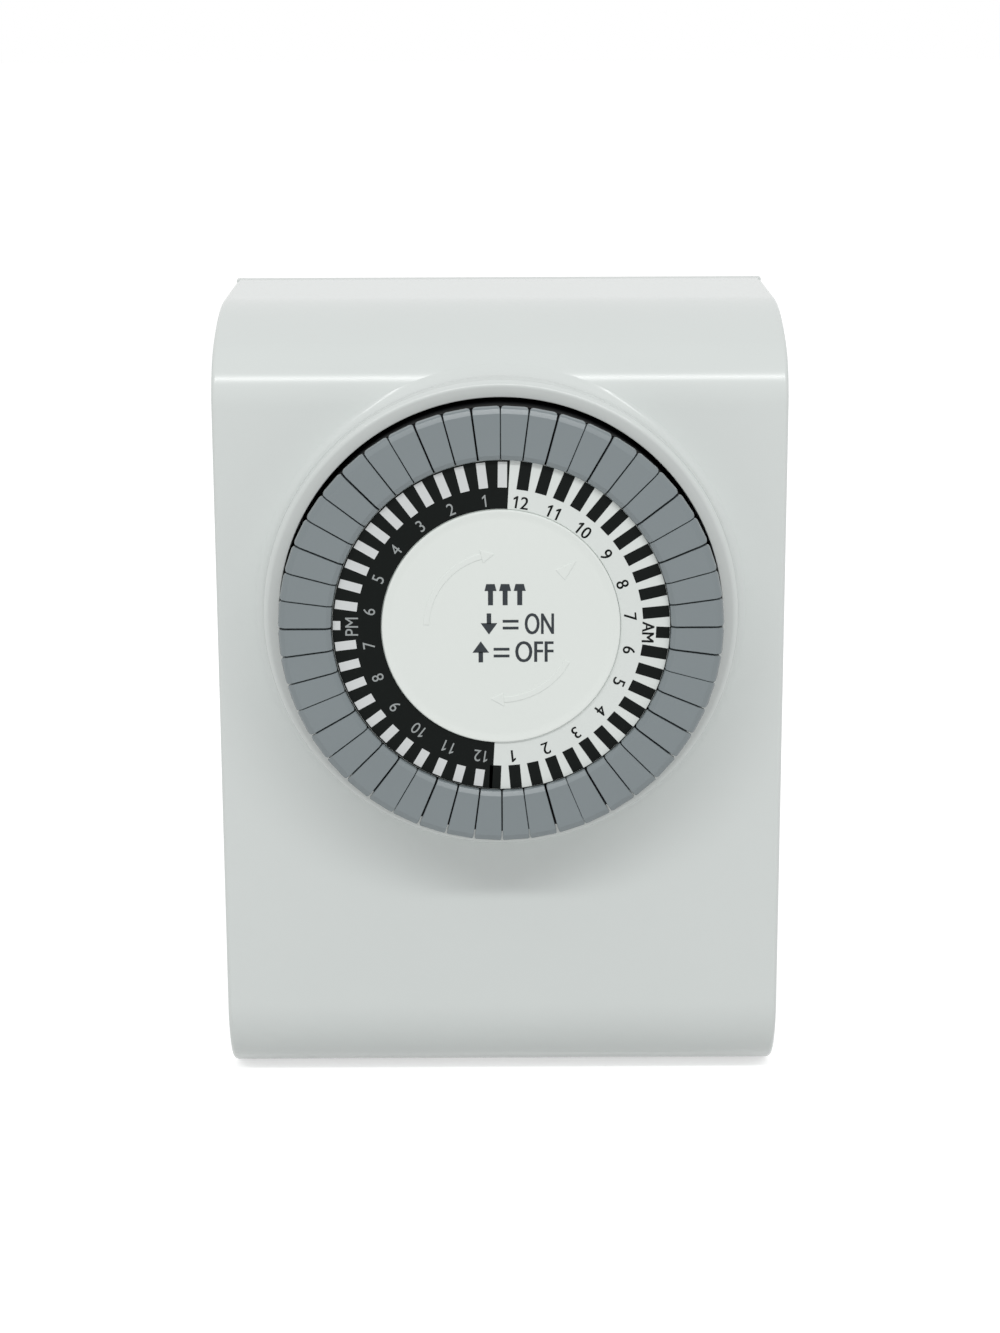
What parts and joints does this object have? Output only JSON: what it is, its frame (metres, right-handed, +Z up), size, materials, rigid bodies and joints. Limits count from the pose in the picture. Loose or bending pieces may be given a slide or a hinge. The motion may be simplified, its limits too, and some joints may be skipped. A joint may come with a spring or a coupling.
{
  "type": "plug in timer switch",
  "caption": "Wall plug timer switch: upright white housing, round turning dial with press-in pins, grounded plug behind, outlet at the side.",
  "frame": {"origin": "on the wall face of the back cover, midway between the two plug blades", "axes": "+Z up, +Y into the wall along the plug blades, the dial faces -Y, +X to the right seen from the front"},
  "size_m": [0.0715, 0.0735, 0.0985],
  "materials": {
    "shell_white": "smooth white ABS, satin gloss",
    "cover_white": "fine spark-eroded white plastic",
    "slider_grey": "matt light grey plastic",
    "pin_grey": "matt mid grey plastic",
    "drum_black": "matt black plastic",
    "scale_print": "white with a printed black half",
    "cap_white": "white, with faint embossed arrows",
    "gear_nylon": "natural acetal",
    "chassis_grey": "dark grey glass-filled plastic",
    "lever_black": "black plastic",
    "blade_brass": "nickel-washed brass, lightly brushed",
    "contact_brass": "stamped brass strip",
    "steel": "zinc-plated steel",
    "copper_coil": "enamelled copper winding",
    "magnet": "sintered ferrite magnet",
    "wire_black": "black insulated wire"
  },
  "bodies": {
    "housing": {"front_shell": "shell_white", "back_cover": "cover_white", "outlet_face": "cover_white", "housing_screws": "steel", "neutral_blade": "blade_brass", "line_blade": "blade_brass", "ground_pin": "blade_brass", "neutral_contact": "contact_brass", "line_contact": "contact_brass", "ground_contact": "contact_brass", "fixed_contact": "contact_brass", "lever_axle": "steel", "lever_spring": "steel", "override_detent": "steel", "chassis_plate": "chassis_grey", "plate_screws": "steel", "motor_case": "steel", "motor_coil": "copper_coil", "gear_cassette": "lever_black", "motor_cover": "steel", "motor_screws": "steel", "motor_leads": "wire_black", "idler_axle": "steel", "dial_axle": "steel", "dial_clip": "steel", "centre_cap": "cap_white"},
    "dial": {"dial_drum": "drum_black", "dial_gear": "gear_nylon", "scale_disc": "scale_print"},
    "idler": {"idler_gear": "gear_nylon"},
    "motor_output": {"motor_pinion": "gear_nylon"},
    "rotor": {"motor_rotor": "magnet"},
    "lever": {"switch_lever": "lever_black", "moving_contact": "contact_brass"},
    "override": {"override_slider": "slider_grey"},
    "hour_pins_01": {"hour_pins_01": "pin_grey"},
    "hour_pins_02": {"hour_pins_02": "pin_grey"},
    "hour_pins_03": {"hour_pins_03": "pin_grey"},
    "hour_pins_04": {"hour_pins_04": "pin_grey"},
    "hour_pins_05": {"hour_pins_05": "pin_grey"},
    "hour_pins_06": {"hour_pins_06": "pin_grey"},
    "hour_pins_07": {"hour_pins_07": "pin_grey"},
    "hour_pins_08": {"hour_pins_08": "pin_grey"},
    "hour_pins_09": {"hour_pins_09": "pin_grey"},
    "hour_pins_10": {"hour_pins_10": "pin_grey"},
    "hour_pins_11": {"hour_pins_11": "pin_grey"},
    "hour_pins_12": {"hour_pins_12": "pin_grey"},
    "hour_pins_13": {"hour_pins_13": "pin_grey"},
    "hour_pins_14": {"hour_pins_14": "pin_grey"},
    "hour_pins_15": {"hour_pins_15": "pin_grey"},
    "hour_pins_16": {"hour_pins_16": "pin_grey"},
    "hour_pins_17": {"hour_pins_17": "pin_grey"},
    "hour_pins_18": {"hour_pins_18": "pin_grey"},
    "hour_pins_19": {"hour_pins_19": "pin_grey"},
    "hour_pins_20": {"hour_pins_20": "pin_grey"},
    "hour_pins_21": {"hour_pins_21": "pin_grey"},
    "hour_pins_22": {"hour_pins_22": "pin_grey"},
    "hour_pins_23": {"hour_pins_23": "pin_grey"},
    "hour_pins_24": {"hour_pins_24": "pin_grey"}
  },
  "joints": [
    {"name": "dial_turn", "type": "hinge", "parent": "housing", "child": "dial", "pos_m": [0, -0.04, -0.0055], "axis": [0, -1, 0], "continuous": true},
    {"name": "idler_turn", "type": "hinge", "parent": "housing", "child": "idler", "pos_m": [0, -0.034, 0.0107], "axis": [0, -1, 0], "continuous": true},
    {"name": "pinion_turn", "type": "hinge", "parent": "housing", "child": "motor_output", "pos_m": [-0.0126, -0.033, 0.0107], "axis": [0, -1, 0], "continuous": true},
    {"name": "rotor_spin", "type": "hinge", "parent": "housing", "child": "rotor", "pos_m": [-0.0126, -0.02, 0.0107], "axis": [0, -1, 0], "continuous": true},
    {"name": "lever_tilt", "type": "hinge", "parent": "housing", "child": "lever", "pos_m": [0, -0.035, -0.037], "axis": [-1, 0, 0], "range_deg": [0, 5], "stiffness_Nm_per_rad": 0.01, "springref_deg": -5.73},
    {"name": "override_slide", "type": "slide", "parent": "housing", "child": "override", "axis": [0, 0, -1], "range_m": [0, 0.004]},
    {"name": "hour_pins_01_press", "type": "slide", "parent": "dial", "child": "hour_pins_01", "axis": [0, 1, 0], "range_m": [0, 0.0022]},
    {"name": "hour_pins_02_press", "type": "slide", "parent": "dial", "child": "hour_pins_02", "axis": [0, 1, 0], "range_m": [0, 0.0022]},
    {"name": "hour_pins_03_press", "type": "slide", "parent": "dial", "child": "hour_pins_03", "axis": [0, 1, 0], "range_m": [0, 0.0022]},
    {"name": "hour_pins_04_press", "type": "slide", "parent": "dial", "child": "hour_pins_04", "axis": [0, 1, 0], "range_m": [0, 0.0022]},
    {"name": "hour_pins_05_press", "type": "slide", "parent": "dial", "child": "hour_pins_05", "axis": [0, 1, 0], "range_m": [0, 0.0022]},
    {"name": "hour_pins_06_press", "type": "slide", "parent": "dial", "child": "hour_pins_06", "axis": [0, 1, 0], "range_m": [0, 0.0022]},
    {"name": "hour_pins_07_press", "type": "slide", "parent": "dial", "child": "hour_pins_07", "axis": [0, 1, 0], "range_m": [0, 0.0022]},
    {"name": "hour_pins_08_press", "type": "slide", "parent": "dial", "child": "hour_pins_08", "axis": [0, 1, 0], "range_m": [0, 0.0022]},
    {"name": "hour_pins_09_press", "type": "slide", "parent": "dial", "child": "hour_pins_09", "axis": [0, 1, 0], "range_m": [0, 0.0022]},
    {"name": "hour_pins_10_press", "type": "slide", "parent": "dial", "child": "hour_pins_10", "axis": [0, 1, 0], "range_m": [0, 0.0022]},
    {"name": "hour_pins_11_press", "type": "slide", "parent": "dial", "child": "hour_pins_11", "axis": [0, 1, 0], "range_m": [0, 0.0022]},
    {"name": "hour_pins_12_press", "type": "slide", "parent": "dial", "child": "hour_pins_12", "axis": [0, 1, 0], "range_m": [0, 0.0022]},
    {"name": "hour_pins_13_press", "type": "slide", "parent": "dial", "child": "hour_pins_13", "axis": [0, 1, 0], "range_m": [0, 0.0022]},
    {"name": "hour_pins_14_press", "type": "slide", "parent": "dial", "child": "hour_pins_14", "axis": [0, 1, 0], "range_m": [0, 0.0022]},
    {"name": "hour_pins_15_press", "type": "slide", "parent": "dial", "child": "hour_pins_15", "axis": [0, 1, 0], "range_m": [0, 0.0022]},
    {"name": "hour_pins_16_press", "type": "slide", "parent": "dial", "child": "hour_pins_16", "axis": [0, 1, 0], "range_m": [0, 0.0022]},
    {"name": "hour_pins_17_press", "type": "slide", "parent": "dial", "child": "hour_pins_17", "axis": [0, 1, 0], "range_m": [0, 0.0022]},
    {"name": "hour_pins_18_press", "type": "slide", "parent": "dial", "child": "hour_pins_18", "axis": [0, 1, 0], "range_m": [0, 0.0022]},
    {"name": "hour_pins_19_press", "type": "slide", "parent": "dial", "child": "hour_pins_19", "axis": [0, 1, 0], "range_m": [0, 0.0022]},
    {"name": "hour_pins_20_press", "type": "slide", "parent": "dial", "child": "hour_pins_20", "axis": [0, 1, 0], "range_m": [0, 0.0022]},
    {"name": "hour_pins_21_press", "type": "slide", "parent": "dial", "child": "hour_pins_21", "axis": [0, 1, 0], "range_m": [0, 0.0022]},
    {"name": "hour_pins_22_press", "type": "slide", "parent": "dial", "child": "hour_pins_22", "axis": [0, 1, 0], "range_m": [0, 0.0022]},
    {"name": "hour_pins_23_press", "type": "slide", "parent": "dial", "child": "hour_pins_23", "axis": [0, 1, 0], "range_m": [0, 0.0022]},
    {"name": "hour_pins_24_press", "type": "slide", "parent": "dial", "child": "hour_pins_24", "axis": [0, 1, 0], "range_m": [0, 0.0022]}
  ],
  "couplings": [
    {"joint": "idler_turn", "follows": "dial_turn", "ratio": -3.5},
    {"joint": "pinion_turn", "follows": "dial_turn", "ratio": 8.75}
  ]
}
